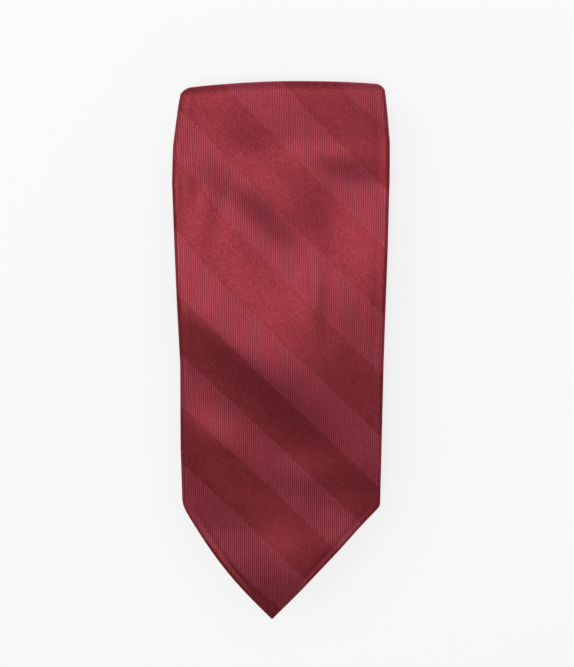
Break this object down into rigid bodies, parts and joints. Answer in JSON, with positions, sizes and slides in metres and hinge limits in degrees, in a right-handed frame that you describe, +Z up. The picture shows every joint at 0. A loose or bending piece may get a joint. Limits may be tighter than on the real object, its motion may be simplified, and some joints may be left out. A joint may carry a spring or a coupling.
{
  "type": "necktie",
  "caption": "Necktie with a pointed blade and diagonal satin and ribbed stripes, folded flat into seven leaves on soft folds.",
  "frame": {"origin": "middle of the underside of the folded tie, where it rests on a table", "axes": "+Z up out of the blade's face, +Y along the tie towards the top fold, so the blade's point faces -Y, +X to the right as the face is looked at"},
  "size_m": [0.092, 0.246, 0.02],
  "materials": {
    "patterned_silk": "woven silk, satin stripes against ribbed stripes",
    "wool_interlining": "brushed wool, matt",
    "tipping_lining": "plain lining satin",
    "sewing_thread": "silk thread",
    "woven_label_satin": "blank woven satin label",
    "care_label_satin": "blank white satin label"
  },
  "bodies": {
    "blade": {"blade_panel_leaf_1": "patterned_silk", "blade_panel_fold_1": "patterned_silk", "interlining_leaf_1": "wool_interlining", "interlining_fold_1": "wool_interlining", "slip_stitches_leaf_1": "sewing_thread", "blade_tipping": "tipping_lining", "blade_bar_tack": "sewing_thread", "keeper_loop": "patterned_silk", "keeper_loop_stitches": "sewing_thread", "woven_label": "woven_label_satin", "care_label": "care_label_satin", "label_stitches": "sewing_thread"},
    "second_leaf": {"blade_panel_leaf_2": "patterned_silk", "blade_panel_fold_2": "patterned_silk", "interlining_leaf_2": "wool_interlining", "interlining_fold_2": "wool_interlining", "slip_stitches_leaf_2": "sewing_thread"},
    "third_leaf": {"blade_panel_leaf_3": "patterned_silk", "blade_panel_fold_3": "patterned_silk", "interlining_leaf_3": "wool_interlining", "interlining_fold_3": "wool_interlining", "slip_stitches_leaf_3": "sewing_thread"},
    "fourth_leaf": {"blade_panel_leaf_4": "patterned_silk", "neck_panel_leaf_4": "patterned_silk", "neck_panel_fold_4": "patterned_silk", "interlining_leaf_4": "wool_interlining", "interlining_fold_4": "wool_interlining", "slip_stitches_leaf_4": "sewing_thread"},
    "fifth_leaf": {"neck_panel_leaf_5": "patterned_silk", "neck_panel_fold_5": "patterned_silk", "interlining_leaf_5": "wool_interlining", "interlining_fold_5": "wool_interlining", "slip_stitches_leaf_5": "sewing_thread"},
    "sixth_leaf": {"neck_panel_leaf_6": "patterned_silk", "tail_panel_leaf_6": "patterned_silk", "tail_panel_fold_6": "patterned_silk", "interlining_leaf_6": "wool_interlining", "interlining_fold_6": "wool_interlining", "slip_stitches_leaf_6": "sewing_thread"},
    "tail_leaf": {"tail_panel_leaf_7": "patterned_silk", "interlining_leaf_7": "wool_interlining", "slip_stitches_leaf_7": "sewing_thread", "tail_tipping": "tipping_lining", "tail_bar_tack": "sewing_thread"}
  },
  "joints": [
    {"name": "top_fold", "type": "hinge", "parent": "blade", "child": "second_leaf", "pos_m": [0, 0.1232, 0.0165], "axis": [1, 0, 0], "range_deg": [0, 180], "deforming": ["blade_panel_fold_1", "interlining_fold_1"]},
    {"name": "second_fold", "type": "hinge", "parent": "second_leaf", "child": "third_leaf", "pos_m": [0, -0.0836, 0.01285], "axis": [-1, 0, 0], "range_deg": [0, 90], "deforming": ["blade_panel_fold_2", "interlining_fold_2"]},
    {"name": "third_fold", "type": "hinge", "parent": "third_leaf", "child": "fourth_leaf", "pos_m": [0, 0.1226, 0.01025], "axis": [1, 0, 0], "range_deg": [0, 180], "deforming": ["blade_panel_fold_3", "interlining_fold_3"]},
    {"name": "fourth_fold", "type": "hinge", "parent": "fourth_leaf", "child": "fifth_leaf", "pos_m": [0, -0.0836, 0.00765], "axis": [-1, 0, 0], "range_deg": [0, 180], "deforming": ["neck_panel_fold_4", "interlining_fold_4"]},
    {"name": "fifth_fold", "type": "hinge", "parent": "fifth_leaf", "child": "sixth_leaf", "pos_m": [0, 0.1226, 0.00505], "axis": [1, 0, 0], "range_deg": [0, 180], "deforming": ["neck_panel_fold_5", "interlining_fold_5"]},
    {"name": "sixth_fold", "type": "hinge", "parent": "sixth_leaf", "child": "tail_leaf", "pos_m": [0, -0.0836, 0.00245], "axis": [-1, 0, 0], "range_deg": [0, 180], "deforming": ["tail_panel_fold_6", "interlining_fold_6"]}
  ]
}
